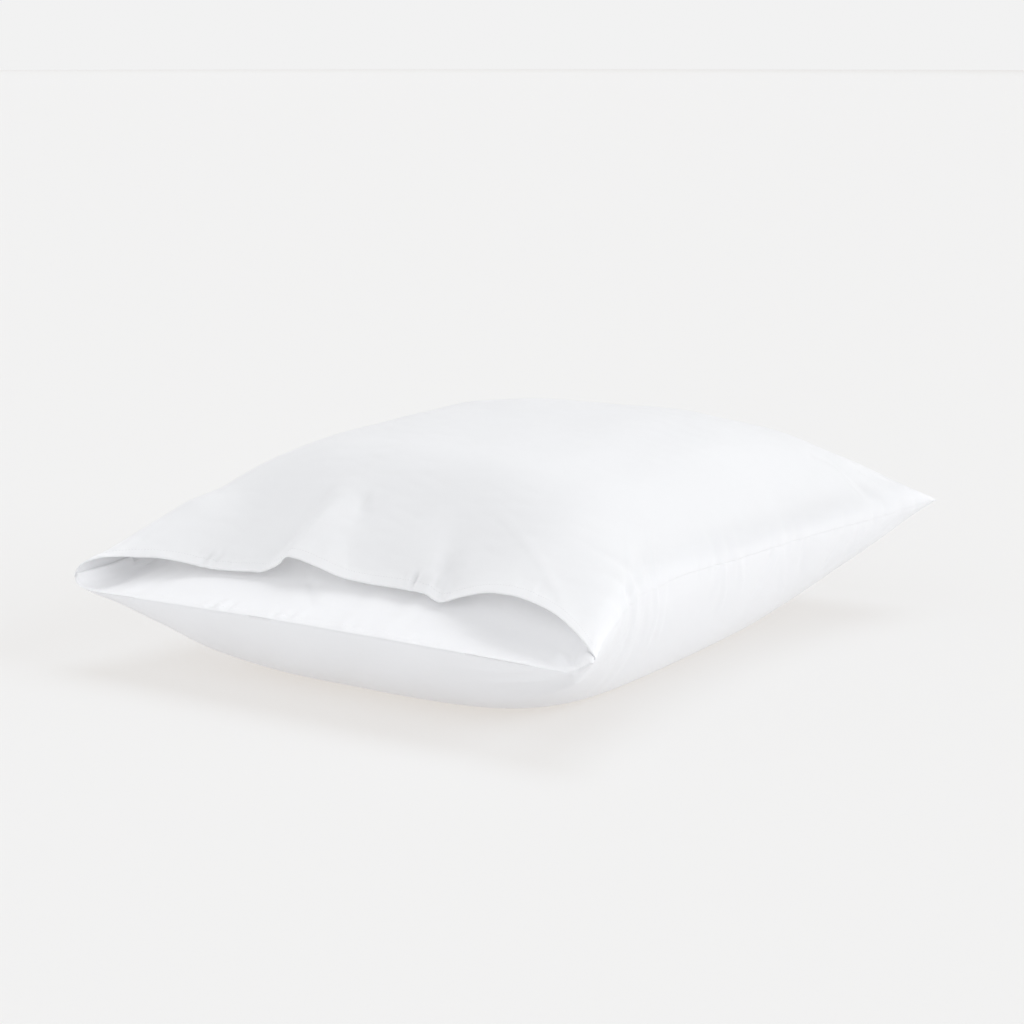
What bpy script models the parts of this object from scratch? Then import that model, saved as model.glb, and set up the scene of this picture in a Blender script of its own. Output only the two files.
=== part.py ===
"""A plain bed pillowcase, filled and lying flat, with the mouth of its envelope end open.

Two pieces of cloth make it, in metres, +Z up, the mouth at -X and the closed end at +X:

- back_panel: the under panel, its straight rim at the mouth, and the inner flap that turns in
  from the rim over the filling. It is one filled solid with a flat patch that it rests on.
- front_panel: the upper sheet, sewn to the back panel along both sides and the closed end. Its
  hem is free and stands off the flap in a ridge, a valley and an arch.

A place on the case is given by u, from 0 at the mouth to 1 at the closed end, and v, from -1 at
the near side seam to 1 at the far one.
"""

from collections import namedtuple

import bmesh
import bpy
import numpy as np
from mathutils import Matrix

MM = 0.001

# Driving sizes. The flat case is 500 x 600 mm; filling it draws the corners in to these.
LENGTH = 570 * MM
WIDTH = 484 * MM
CROWN = 94 * MM  # from the side seam up to the crown
BELLY = 126 * MM  # from the side seam down, before the floor stops it
WAIST_DRAW = 40 * MM  # how far each side seam is drawn in at its middle
WAIST_POWER = 0.8  # under 1, so that the draw starts steeply at the corners
END_DRAW = 20 * MM  # the same for the closed end
END_DRAW_START = 0.5  # the u where that starts
CLOTH = 2 * MM
SEAM_GAP = 0.3 * MM  # between the two pieces where they are sewn together
SEWN = 0.02 * MM  # points this close are one
SIDE_POWER = 12  # how squarely the folds and the flap run out into the side seams
SEAM_POWER = 60  # the same for the gap between the flap and the front panel
FLOOR_ROUND = 12 * MM  # the belly turns onto the floor over this height

# The mouth.
SETBACK = 42 * MM  # the front hem lies this much further in than the rim
EAR_SETBACK = 6 * MM  # and this much at the side seams
SETBACK_POWER = 6  # how squarely it goes from one to the other
RIM_DROP = 10 * MM  # the rim hangs this much under the line of the seams
RIM_BOW = 3 * MM  # less this much in its middle
RIM_POWER = 30  # how squarely it comes up to the seams
FLAP_RUN = 45 * MM  # the flap rises by its table's height over this run
FLAP_CLIMB = 20 * MM  # further in it climbs to meet the front panel
FLAP_CLIMB_START = 1.2  # in runs from the rim
NEAR_EAR_POWER = 12  # how squarely the hem comes down to the near seam
FAR_EAR_POWER = 50  # and to the far one, where the mouth ends in a round loop
FAR_EAR_SLACK = 0.45  # the share of the belly's fullness that is missing under the far ear
FAR_EAR_SIDE = 0.5  # the v where that slack starts
FAR_EAR_LENGTH = 0.3  # and the u where it ends
RIM_FADE = 0.1  # the u over which the belly loses the rim's sag
HEM_REACH = 115 * MM  # the front panel is drawn down to its hem over this length
HEM_ROUND = 1.2  # 0 draws it down steadily, 2 in an S
MEET_ROUND = 6 * MM  # the flap meets the front panel over this height

# Rows and columns of the surfaces.
FLAP_ROWS = 5
PANEL_ROWS = 34
COLUMNS = 46
ROW_CROWDING = 0.55  # 0 is even rows, 1 crowds them all at the two ends
COLUMN_CROWDING = 0.38  # the same for the columns at the two sides

# The filling's outline: the powers that round it across and along, and its edge's fullness.
Fill = namedtuple("Fill", "start across along edge")
TOP_FILL = Fill(start=-0.04, across=2.98, along=3.13, edge=0.513)
BELLY_FILL = Fill(start=0.0, across=3.12, along=2.15, edge=0.569)

# Heights of the filling's middle level at the mouth, halfway and at the closed end.
Level = namedtuple("Level", "mouth middle closed")
NEAR_LEVEL = Level(69 * MM, 90 * MM, 90 * MM)
FAR_LEVEL = Level(69 * MM, 90 * MM, 72 * MM)

# Heights of the two side seams, by the distance from the mouth.
Seam = namedtuple("Seam", "along near far")
SEAM = (
    Seam(0, 75, 72),
    Seam(40, 84, 76),
    Seam(90, 95, 84),
    Seam(150, 97, 89),
    Seam(285, 90, 88),
    Seam(420, 88, 84),
    Seam(500, 88, 80),
    Seam(570, 93, 74),
)

# How far the free hem stands above the line between the two ears, from near to far.
Hem = namedtuple("Hem", "across lift")
HEM = (
    Hem(-242, 4),
    Hem(-225, 9),
    Hem(-205, 15.5),
    Hem(-180, 22),
    Hem(-150, 26),
    Hem(-125, 24.5),
    Hem(-100, 20),
    Hem(-75, 18),
    Hem(-45, 16),
    Hem(0, 17.5),
    Hem(30, 18.5),
    Hem(60, 17),
    Hem(90, 14.5),
    Hem(115, 11),
    Hem(160, 7),
    Hem(200, 8.5),
    Hem(225, 13.5),
    Hem(242, 15),
)

# How far the flap rises from the rim over its run, from near to far.
Flap = namedtuple("Flap", "across rise")
FLAP = (
    Flap(-242, 3),
    Flap(-210, 1),
    Flap(-165, 0),
    Flap(-130, 3),
    Flap(-100, 9),
    Flap(-60, 15),
    Flap(0, 16.5),
    Flap(100, 14),
    Flap(180, 12),
    Flap(205, 10),
    Flap(228, 2),
    Flap(242, 0),
)

# Folds and swells of the front panel: each follows a line in plan, starts at its full height and
# runs out at the line's end. A height under 0 is a trough. near and far are its two widths.
Fold = namedtuple("Fold", "name x0 y0 x1 y1 near far height")
FOLD_HOLDS = 0.3  # the share of its line over which a fold keeps its full height
FOLDS = (
    Fold("ridge up from the hem", -243, 61, -160, 42, 32, 15, 10.5),
    Fold("valley beside the arch", -243, -80, -175, -58, 18, 8, -5),
    Fold("dip beside the ridge", -196, 24, -170, 30, 11, 11, -3),
    Fold("swell over the flap", -212, -40, -190, -20, 24, 22, 4),
    Fold("far mouth shoulder", -225, 190, -165, 176, 42, 42, 11),
    Fold("crease at the closed corner", 178, -176, 232, -222, 9, 9, -4),
)

# Upright folds that pull in the near side by the mouth, above and below its seam.
Pull = namedtuple("Pull", "x width depth low high lean")
PULLS = (
    Pull(-176, 6.0, 3.5, 18, 132, 0.30),
    Pull(-195, 6.0, 3.0, 24, 118, 0.30),
)
PULL_LEVEL = 97 * MM  # the height at which a pull is at its own x
PULL_FADE = 14 * MM
PULL_DEEPEST_Y = -150 * MM
PULL_FADE_Y = 30 * MM

# Finishes.
UNDER_COLOUR = (0.80, 0.80, 0.82)
UPPER_COLOUR = (0.86, 0.86, 0.88)
ROUGHNESS = 0.9


def smoothstep(low, high, x):
    t = np.clip((x - low) / (high - low), 0, 1)
    return t * t * (3 - 2 * t)


def through(rows, key, value, x):
    """A smooth curve through a table in millimetres, read at x in metres: a cubic between each
    two rows, whose slope at a row is the table's own average there."""
    keys = np.array([getattr(row, key) for row in rows]) * MM
    values = np.array([getattr(row, value) for row in rows]) * MM
    slopes = np.gradient(values, keys)
    i = np.clip(np.searchsorted(keys, x) - 1, 0, len(keys) - 2)
    span = keys[i + 1] - keys[i]
    t = np.clip((x - keys[i]) / span, 0, 1)
    rise = 3 * t**2 - 2 * t**3
    start = values[i] * (1 - rise) + span * slopes[i] * (t**3 - 2 * t**2 + t)
    return start + values[i + 1] * rise + span * slopes[i + 1] * (t**3 - t**2)


def round_off(v, power):
    """1 over most of the width, falling to 0 at the two side seams as a rounded edge."""
    return np.sqrt(np.clip(1 - np.abs(v) ** power, 0, 1))


def soft_positive(x, radius):
    """x where it is over 0 and 0 where it isn't, with the corner rounded."""
    middle = (x + radius) ** 2 / (4 * radius)
    return np.where(x > radius, x, np.where(x < -radius, 0, middle))


def half_width(u):
    """The side seams bow in between the corners."""
    return WIDTH / 2 - WAIST_DRAW * (4 * u * (1 - u)) ** WAIST_POWER


def plan(u, v):
    """The place seen from above: u along the length, v across the drawn-in width."""
    x = LENGTH * (u - 0.5) - END_DRAW * (1 - v**2) * smoothstep(END_DRAW_START, 1, u)
    return x, v * half_width(u)


def bow(level, u):
    """A parabola through the level's three heights."""
    handle = 2 * level.middle - (level.mouth + level.closed) / 2
    return level.mouth * (1 - u) ** 2 + handle * 2 * u * (1 - u) + level.closed * u**2


def between_sides(near, far, v):
    return (near * (1 - v) + far * (1 + v)) / 2


def middle_level(u, v):
    return between_sides(bow(NEAR_LEVEL, u), bow(FAR_LEVEL, u), v)


def seam_level(u, v):
    along = u * LENGTH
    near = through(SEAM, "along", "near", along)
    far = through(SEAM, "along", "far", along)
    return between_sides(near, far, v)


def fullness(fill, u, v):
    """0 at the seams and 1 over the middle, as a rounded rectangle swells."""
    w = 2 * (u - fill.start) / (1 - fill.start) - 1
    inside = (1 - np.abs(v) ** fill.across) * (1 - np.abs(w) ** fill.along)
    return np.clip(inside, 0, 1) ** fill.edge


def from_level(u, v, full):
    """The middle level, turned into the seams' own heights where the filling is thin."""
    return middle_level(u, v) + (seam_level(u, v) - middle_level(u, v)) * (1 - full) ** 2


def fold_shape(x, y, fold):
    """A bell across the line from (x0, y0) to (x1, y1), wider on one side than on the other. It
    ends as a half bell before the line's start and sinks smoothly to nothing at its end."""
    start = np.array([fold.x0, fold.y0]) * MM
    step = np.array([fold.x1, fold.y1]) * MM - start
    length = np.hypot(*step)
    along = ((x - start[0]) * step[0] + (y - start[1]) * step[1]) / length
    across = ((y - start[1]) * step[0] - (x - start[0]) * step[1]) / length
    width = np.where(across < 0, fold.near, fold.far) * MM
    before = np.minimum(along, 0)
    fade = 1 - smoothstep(FOLD_HOLDS, 1, along / length)
    return np.exp(-(across**2 + before**2) / width**2) * fade


def folds(x, y):
    return sum(fold.height * MM * fold_shape(x, y, fold) for fold in FOLDS)


def setback(v):
    return EAR_SETBACK + SETBACK * (1 - np.abs(v) ** SETBACK_POWER)


def hem_u(v):
    return setback(v) / LENGTH


def full_top(u, v):
    """The front panel as if its hem were drawn tight over the filling."""
    full = fullness(TOP_FILL, u, v)
    return from_level(u, v, full) + CROWN * full


def hem_height(v):
    """The hem's own height: the line between the ears, with the table's lifts on it."""
    ears = between_sides(SEAM[0].near * MM, SEAM[0].far * MM, v)
    at_seam = (seam_level(hem_u(v), v) - ears) * np.abs(v) ** SIDE_POWER
    lift = through(HEM, "across", "lift", v * half_width(hem_u(v)))
    power = np.where(v < 0, NEAR_EAR_POWER, FAR_EAR_POWER)
    return ears + at_seam + lift * round_off(v, power)


def top(u, v):
    """The front panel: the full form, drawn down to the hem near the mouth, with its folds."""
    x, y = plan(u, v)
    in_from_hem = np.clip((u * LENGTH - setback(v)) / HEM_REACH, 0, 1)
    draw = (1 - in_from_hem) ** 2 * (1 + HEM_ROUND * in_from_hem)
    height = full_top(u, v) - (full_top(hem_u(v), v) - hem_height(v)) * draw
    return height + folds(x, y) * round_off(v, SIDE_POWER)


def rim_sag(v):
    return RIM_DROP * round_off(v, RIM_POWER) - RIM_BOW * (1 - v**2)


def flap(u, v):
    """The flap: up from the rim at its table's slope, then climbing in a parabola."""
    y = v * half_width(u)
    runs = u * LENGTH / FLAP_RUN
    seam_rise = (seam_level(u, v) - seam_level(0 * u, v)) * np.abs(v) ** SIDE_POWER
    rise = through(FLAP, "across", "rise", y) * runs
    climb = FLAP_CLIMB * np.maximum(runs - FLAP_CLIMB_START, 0) ** 2
    start = seam_level(0 * u, v) - rim_sag(v)
    return start + seam_rise + round_off(v, SIDE_POWER) * (rise + climb)


def belly(u, v):
    """The under side: down from the seams and the rim, and level where it meets the floor."""
    slack = FAR_EAR_SLACK * smoothstep(FAR_EAR_SIDE, 1, v) * (1 - smoothstep(0, FAR_EAR_LENGTH, u))
    full = fullness(BELLY_FILL, u, v) * (1 - slack)
    sag = rim_sag(v) * (1 - smoothstep(0, RIM_FADE, u))
    return soft_positive(from_level(u, v, full) - sag - BELLY * full, FLOOR_ROUND)


def pulled_in(points):
    """The near side with its upright folds: each moves the points behind a leaning line in."""
    x, y, z = np.moveaxis(points, -1, 0).copy()
    for pull in PULLS:
        line = pull.x * MM + pull.lean * (PULL_LEVEL - z)
        weight = np.exp(-(((x - line) / (pull.width * MM)) ** 2))
        weight *= smoothstep(pull.low * MM - PULL_FADE, pull.low * MM + PULL_FADE, z)
        weight *= 1 - smoothstep(pull.high * MM - PULL_FADE, pull.high * MM + PULL_FADE, z)
        weight *= 1 - smoothstep(PULL_DEEPEST_Y - PULL_FADE_Y, PULL_DEEPEST_Y, y)
        y += pull.depth * MM * weight
    return np.stack([x, y, z], axis=-1)


def placed(u, v, height):
    return pulled_in(np.stack([*plan(u, v), height], axis=-1))


def rows_and_columns():
    """u for the flap's rows and the panel's rows, and v for the columns, crowded at the edges."""
    t = np.linspace(-1, 1, COLUMNS + 1)
    v = t * (1 - COLUMN_CROWDING) + COLUMN_CROWDING * np.sin(np.pi / 2 * t)
    s = np.linspace(0, 1, PANEL_ROWS + 1)
    s = s - ROW_CROWDING * np.sin(2 * np.pi * s) / (2 * np.pi)
    mouth = np.linspace(0, 1, FLAP_ROWS + 1)[:-1, None] * hem_u(v)
    panel = hem_u(v) + (1 - hem_u(v)) * s[:, None]
    return mouth, panel, v[None, :]


def normals(points):
    """The unit normal at each point of a grid, from the steps to its neighbours."""
    cross = np.cross(np.gradient(points, axis=0), np.gradient(points, axis=1))
    return cross / np.linalg.norm(cross, axis=-1, keepdims=True)


def add_grid(bm, points):
    """A bmesh grid, facing up, whose vertices take the places of a grid of points."""
    rows, columns = np.array(points.shape[:2]) - 1
    made = bmesh.ops.create_grid(bm, x_segments=rows, y_segments=columns, size=1)
    for vertex in made["verts"]:
        i = round((vertex.co.x + 1) / 2 * rows)
        j = round((vertex.co.y + 1) / 2 * columns)
        vertex.co = points[i, j]
    return list({face for vertex in made["verts"] for face in vertex.link_faces})


def cotton(name, colour):
    material = bpy.data.materials.new(name)
    material.use_nodes = True
    shader = material.node_tree.nodes["Principled BSDF"]
    shader.inputs["Base Color"].default_value = (*colour, 1)
    shader.inputs["Roughness"].default_value = ROUGHNESS
    shader.inputs["Metallic"].default_value = 0
    return material


def cloth_object(name, bm, collection, material):
    mesh = bpy.data.meshes.new(name)
    bm.to_mesh(mesh)
    bm.free()
    mesh.shade_smooth()
    mesh.materials.append(material)
    obj = bpy.data.objects.new(name, mesh)
    collection.objects.link(obj)
    return obj


def make_back_panel(collection):
    """The flap and the form under the front panel, closed below by the belly."""
    mouth, panel, v = rows_and_columns()
    gap = soft_positive(top(panel, v) - flap(panel, v), MEET_ROUND) * (1 - np.abs(v) ** SEAM_POWER)
    upper = np.concatenate(
        [
            placed(mouth, v + 0 * mouth, flap(mouth, v)),
            placed(panel, v + 0 * panel, top(panel, v) - gap),
        ]
    )
    u = np.concatenate([mouth, panel])
    bm = bmesh.new()
    add_grid(bm, upper)
    under = add_grid(bm, placed(u, v + 0 * u, belly(u, v)))
    bmesh.ops.reverse_faces(bm, faces=under)
    bmesh.ops.remove_doubles(bm, verts=bm.verts, dist=SEWN)
    return cloth_object("back_panel", bm, collection, cotton("under_cotton", UNDER_COLOUR))


def make_front_panel(collection):
    """The sheet over the form, a seam's gap off it, thickened outwards."""
    _, panel, v = rows_and_columns()
    form = placed(panel, v + 0 * panel, top(panel, v))
    bm = bmesh.new()
    add_grid(bm, form + SEAM_GAP * normals(form))
    sheet = cloth_object("front_panel", bm, collection, cotton("upper_cotton", UPPER_COLOUR))
    solidify = sheet.modifiers.new("cloth", "SOLIDIFY")
    solidify.thickness = CLOTH
    solidify.offset = 1
    return sheet


def stand_on_origin(objects):
    """Moves the meshes so that the whole case is centred over the origin in plan."""
    graph = bpy.context.evaluated_depsgraph_get()
    corners = np.concatenate([np.array(obj.evaluated_get(graph).bound_box) for obj in objects])
    middle = (corners.min(axis=0) + corners.max(axis=0)) / 2
    for obj in objects:
        obj.data.transform(Matrix.Translation((-middle[0], -middle[1], 0)))


def main():
    for obj in list(bpy.data.objects):
        bpy.data.objects.remove(obj)
    collection = bpy.data.collections.new("pillowcase")
    bpy.context.scene.collection.children.link(collection)
    stand_on_origin([make_back_panel(collection), make_front_panel(collection)])


main()
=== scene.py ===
"""A filled white cotton pillowcase lying flat, with the mouth of its envelope end open.

The cloth is worked out in the row frame, in metres: +X from the mouth to the closed end, +Y from
the near side seam to the far one, +Z up. A place on the case is given by u, from 0 at the mouth
to 1 at the closed end, and v, from -1 at the near side seam to 1 at the far one.
"""

from collections import namedtuple

import bpy
import numpy as np
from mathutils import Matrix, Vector


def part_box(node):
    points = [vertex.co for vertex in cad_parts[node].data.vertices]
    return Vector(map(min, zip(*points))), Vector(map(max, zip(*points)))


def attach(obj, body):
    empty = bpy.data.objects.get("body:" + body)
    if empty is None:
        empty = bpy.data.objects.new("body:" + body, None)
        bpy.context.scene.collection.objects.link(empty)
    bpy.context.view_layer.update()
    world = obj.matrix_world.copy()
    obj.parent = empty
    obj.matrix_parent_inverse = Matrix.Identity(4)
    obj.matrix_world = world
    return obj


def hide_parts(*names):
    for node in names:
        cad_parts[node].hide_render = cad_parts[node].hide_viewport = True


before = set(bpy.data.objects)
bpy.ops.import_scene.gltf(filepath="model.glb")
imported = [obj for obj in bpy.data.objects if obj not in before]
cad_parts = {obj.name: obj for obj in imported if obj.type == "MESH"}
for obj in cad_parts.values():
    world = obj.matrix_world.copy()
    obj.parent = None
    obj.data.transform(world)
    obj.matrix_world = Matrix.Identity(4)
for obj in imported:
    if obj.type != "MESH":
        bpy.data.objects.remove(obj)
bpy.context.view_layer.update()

MM = 0.001

# Driving sizes. The flat case is 500 x 600 mm; filling it draws the corners in to these.
FLAT = (500 * MM, 600 * MM)
LENGTH = 570 * MM
WIDTH = 484 * MM
CROWN = 94 * MM  # from the side seam up to the crown
BELLY = 126 * MM  # from the side seam down, before the floor stops it
WAIST_DRAW = 40 * MM  # how far each side seam is drawn in at its middle
WAIST_POWER = 0.8  # under 1, so that the draw starts steeply at the corners
END_DRAW = 20 * MM  # the same for the closed end
SIDE_POWER = 12  # how squarely the folds and the flap run out into the side seams
SEAM_POWER = 60  # the same for the gap between the flap and the front panel
FLOOR_ROUND = 12 * MM  # the belly turns onto the floor over this height

# The cloth.
CLOTH = 0.7 * MM
SEAM_GAP = 0.05 * MM  # between the two pieces where they are sewn together
STAND_OFF = 1.2 * MM  # the outer face of the cloth, outside the filled form
INSIDE_GAP = 2.5 * MM  # between the front panel and what lies under it, away from the seams
SEAM_GROOVE = 0.08 * MM  # how deep the turned-in seam lies
SEAM_GROOVE_WIDTH = 1.5 * MM
CORNER_BLEND = 10 * MM  # one seam's gathers give way to the next one's over this width
GATHERS_SETTLE = 60 * MM  # away from a seam its gathers settle to two fifths over this
HEM_DEPTH = 9 * MM
HEM_SWELL = 0.45 * MM  # the hem's extra layers
HEM_STEP = 0.7 * MM  # half the width of the step where the turned cloth ends
HEM_THICKER = 1.1  # how much more cloth there is in the hem, in thicknesses
HEM_THINS = 12 * MM  # over this much beside the seams it is single again
STITCH_PITCH = 2.6 * MM
STITCH_GROOVE = 0.18 * MM  # how far a row of stitches sinks in
STITCH_GROOVE_WIDTH = 1.1 * MM
HEM_GROOVE_IN = 1.5 * MM  # the hem's groove lies this far inside the edge of its turned cloth
TURN_LEVEL = 4 * MM  # the cloth beside a seam turns level over this distance
STILL = 25 * MM  # the cloth's own unevenness grows over this distance from a seam
BELLY_LIFT = 30 * MM  # and, under the case, over this height from the floor
BELLY_STAND_OFF = 45 * MM  # how far from the seams the belly stands off the filled form

# The mouth.
SETBACK = 42 * MM  # the front hem lies this much further in than the rim
EAR_SETBACK = 6 * MM  # and this much at the side seams
FAR_EAR_FORWARD = 5.6 * MM  # less this much right at the far one, where the two edges meet
RIM_DROP = 10 * MM  # the rim hangs this much under the line of the seams
RIM_BOW = 3 * MM  # less this much in its middle
RIM_POWER = 30  # how squarely it comes up to the seams
RIM_CORNER = 0.075  # over the last of v it comes up to the near seam in a straight line
FLAP_RUN = 45 * MM  # the flap rises by its table's height over this run
FLAP_CLIMB = 20 * MM  # further in it climbs to meet the front panel
FLAP_CLIMB_START = 1.2  # in runs from the rim
ARCH_FILL = 21 * MM  # behind the hem's arch the flap lies higher against the filling
ARCH_FILL_RUN = (-20 * MM, 28 * MM)  # between these distances in from the hem
ARCH_FILL_SIDE = (-135 * MM, -65 * MM)  # and runs out between these distances across
NEAR_EAR_POWER = 12  # how squarely the hem comes down to the near seam
FAR_EAR_POWER = 50  # and to the far one, where the mouth ends in a round loop
FAR_EAR_SLACK = 0.45  # the share of the belly's fullness that is missing under the far ear
FAR_EAR_SIDE = 0.5  # the v where that slack starts
FAR_EAR_LENGTH = 0.3  # and the u where it ends
HEM_REACH = 115 * MM  # the front panel is drawn down to its hem over this length
HEM_ROUND = 1.2  # 0 draws it down steadily, 2 in an S
MEET_ROUND = 6 * MM  # the flap meets the front panel over this height
FLAP_LEAVES = 6 * MM  # and is a surface of its own where it lies this far under the panel
RIM_FADE = 0.1  # the u over which the belly loses the rim's sag

# Rows and columns of the surfaces.
MOUTH_ROWS = 40
PANEL_ROWS = 254
COLUMNS = 184
SEAM_EDGE = 0.4 * MM  # the last row or column before a seam, so that the cloth turns in tightly
HIDDEN_STEP = 4  # what the front panel hides has one column for this many

# The filling's outline: the powers that round it across and along, and its edge's fullness.
Fill = namedtuple("Fill", "start across along edge")
TOP_FILL = Fill(start=-0.04, across=2.98, along=3.13, edge=0.513)
BELLY_FILL = Fill(start=0.0, across=3.12, along=2.15, edge=0.569)

# Heights of the filling's middle level at the mouth, halfway and at the closed end.
Level = namedtuple("Level", "mouth middle closed")
NEAR_LEVEL = Level(69 * MM, 90 * MM, 90 * MM)
FAR_LEVEL = Level(69 * MM, 90 * MM, 72 * MM)

# Heights of the two side seams, by the distance from the mouth.
Seam = namedtuple("Seam", "along near far")
SEAM = [
    Seam(*row)
    for row in (
        (0, 75, 72), (40, 84, 76), (90, 95, 84), (150, 97, 89), (285, 90, 88), (420, 88, 84),
        (500, 88, 80), (570, 93, 74),
    )
]

# How far the free hem stands above the line between the two ears, from near to far.
Hem = namedtuple("Hem", "across lift")
HEM = [
    Hem(*row)
    for row in (
        (-242, 4), (-225, 9), (-205, 15.5), (-180, 22), (-150, 26), (-125, 24.5), (-100, 20),
        (-75, 18), (-45, 16), (0, 17.5), (30, 18.5), (60, 17), (90, 14.5), (115, 11), (160, 7),
        (200, 8.5), (225, 13.5), (242, 15),
    )
]

# How far the flap rises from the rim over its run, from near to far.
Flap = namedtuple("Flap", "across rise")
FLAP = [
    Flap(*row)
    for row in (
        (-242, 3), (-210, 1), (-165, 0), (-130, 3), (-100, 9), (-60, 15), (0, 16.5), (100, 14),
        (180, 12), (205, 10), (228, 2), (242, 0),
    )
]

# Folds and swells of the front panel: each follows a line in plan, starts at its full height and
# runs out at the line's end. A height under 0 is a trough. near and far are its two widths.
Fold = namedtuple("Fold", "name x0 y0 x1 y1 near far height")
FOLDS = (
    Fold("ridge up from the hem", -243, 61, -160, 42, 32, 15, 10.5),
    Fold("valley beside the arch", -243, -80, -175, -58, 18, 8, -5),
    Fold("dip beside the ridge", -196, 24, -170, 30, 11, 11, -3),
    Fold("swell over the flap", -212, -40, -190, -20, 24, 22, 4),
    Fold("far mouth shoulder", -225, 190, -165, 176, 42, 42, 11),
    Fold("crease at the closed corner", 178, -176, 232, -222, 9, 9, -4),
)

# Upright folds that pull in the near side by the mouth, above and below its seam.
Pull = namedtuple("Pull", "x width depth low high lean")
PULLS = (
    Pull(-176, 6.0, 1.5, 18, 132, 0.30),
    Pull(-195, 6.0, 1.3, 24, 118, 0.30),
)
PULL_LEVEL = 97 * MM  # the height at which a pull is at its own x
PULL_FADE = 14 * MM
PULL_DEEPEST_Y = -150 * MM
PULL_FADE_Y = 30 * MM

# Creases of the cloth, given one by one: a line of points in millimetres, the width of its slope
# on the left and on the right of the line's direction seen from outside, its height, and the share
# of that height at its start. It runs out at its end. A height under 0 is a trough.
Crease = namedtuple("Crease", "name left right height start line")
CREASES = [
    Crease(*row)
    for row in (
        ("ridge's crest", 5, 12, 2.4, 1, ((-240, 65, 100), (-213, 54, 125), (-184, 47, 147))),
        ("ridge's foot", 8, 5, -2.8, 1, ((-240, 90, 91), (-222, 82, 106), (-203, 72, 126))),
        ("ridge's far end", 7, 5, -2.2, 0, ((-213, 78, 115), (-190, 70, 138), (-172, 62, 152))),
        ("foot of the bright flank", 10, 12, -1.6, 0,
            ((-204, 36, 130), (-214, 25, 120), (-224, 14, 109), (-238, -4, 95))),
        ("dimple", 4, 4, -2.0, 0, ((-200, 24, 130), (-190, 28, 139), (-178, 30, 149))),
        ("dimple's lip", 3.5, 4, 1.7, 0, ((-196, 16, 134), (-186, 22, 142), (-174, 24, 152))),
        ("valley", 5, 8, -2.8, 1, ((-241, -78, 88), (-228, -75, 99), (-208, -67, 118))),
        ("valley's bank", 9, 9, 1.8, 0, ((-232, -93, 98), (-214, -90, 115), (-198, -74, 128))),
        ("long faint crease", 4, 4, 1.1, 0,
            ((-167, -68, 156), (-191, -114, 137), (-208, -145, 125), (-238, -185, 104),
             (-258, -209, 92), (-276, -235, 84))),
        ("near pull, crest", 3.5, 4, 1.7, 0,
            ((-120, -174, 146), (-159, -196, 129), (-185, -211, 113), (-193, -216, 97),
             (-181, -209, 70), (-178, -192, 36), (-178, -178, 18))),
        ("near pull, trough", 4, 3, -1.6, 0,
            ((-175, -202, 121), (-203, -219, 100), (-196, -214, 78), (-202, -208, 57),
             (-208, -194, 38))),
        ("second pull, crest", 3, 4, 1.7, 0,
            ((-104, -180, 141), (-141, -202, 122), (-155, -212, 101), (-146, -208, 80),
             (-145, -204, 62), (-132, -187, 34), (-126, -170, 14))),
        ("second pull, trough", 3, 4, -1.9, 0,
            ((-146, -196, 128), (-164, -209, 108), (-167, -210, 88), (-156, -202, 57),
             (-150, -187, 33))),
        ("third pull, crest", 3, 4, 1.0, 0,
            ((-132, -208, 104), (-137, -208, 88), (-132, -205, 73), (-124, -197, 49),
             (-118, -186, 34))),
        ("side wrinkle 1", 2.5, 4, 1.4, 1, ((-31, -202, 88), (-24, -200, 72), (-15, -190, 43))),
        ("side wrinkle 2", 3, 2.5, 1.2, 1, ((-4, -202, 88), (4, -198, 70), (13, -193, 51))),
        ("side wrinkle 3", 4, 2.5, -1.5, 1, ((49, -202, 84), (38, -198, 64), (26, -190, 43))),
        ("side wrinkle 4", 3, 4, 1.3, 1, ((56, -202, 82), (46, -198, 62), (33, -190, 43))),
        ("side wrinkle 5", 3, 4, 1.1, 1, ((68, -201, 80), (83, -196, 54), (102, -184, 32))),
        ("side wrinkle 6", 3, 3, -1.2, 1, ((98, -205, 82), (104, -202, 68), (116, -195, 48))),
        ("side wrinkle 7", 3, 4, -1.7, 1, ((160, -208, 78), (149, -203, 59), (140, -196, 46))),
        ("side wrinkle 8", 3, 3, 1.4, 1, ((175, -213, 82), (168, -209, 68), (158, -202, 54))),
        ("side wrinkle 9", 3, 3, 1.4, 1, ((193, -216, 82), (186, -211, 67), (183, -205, 55))),
        ("closed corner, trough", 6, 7, -3.0, 0,
            ((192, -172, 146), (188, -198, 130), (197, -209, 119), (213, -220, 104),
             (236, -229, 92))),
        ("closed corner, second", 5, 6, -2.2, 0,
            ((206, -186, 136), (222, -202, 124), (240, -217, 112), (258, -229, 100))),
        ("closed corner, below", 6, 6, -1.4, 0,
            ((262, -231, 90), (246, -225, 82), (225, -218, 72), (210, -208, 58))),
        ("flap's crease", 4, 3, -1.2, 1, ((-236, 42, 84), (-256, 27, 77), (-272, 14, 73))),
        ("turned corner", 3, 3.5, 2.4, 1,
            ((-284, -224, 66), (-273, -212, 67), (-250, -190, 68))),
        ("rim streak", 3, 3, 0.9, 0, ((-281, -128, 54), (-281, -162, 56), (-285, -205, 66))),
        ("rim streak below", 3, 3, 0.9, 0,
            ((-276, -140, 43), (-279, -178, 52), (-283, -226, 64))),
    )
]

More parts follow.
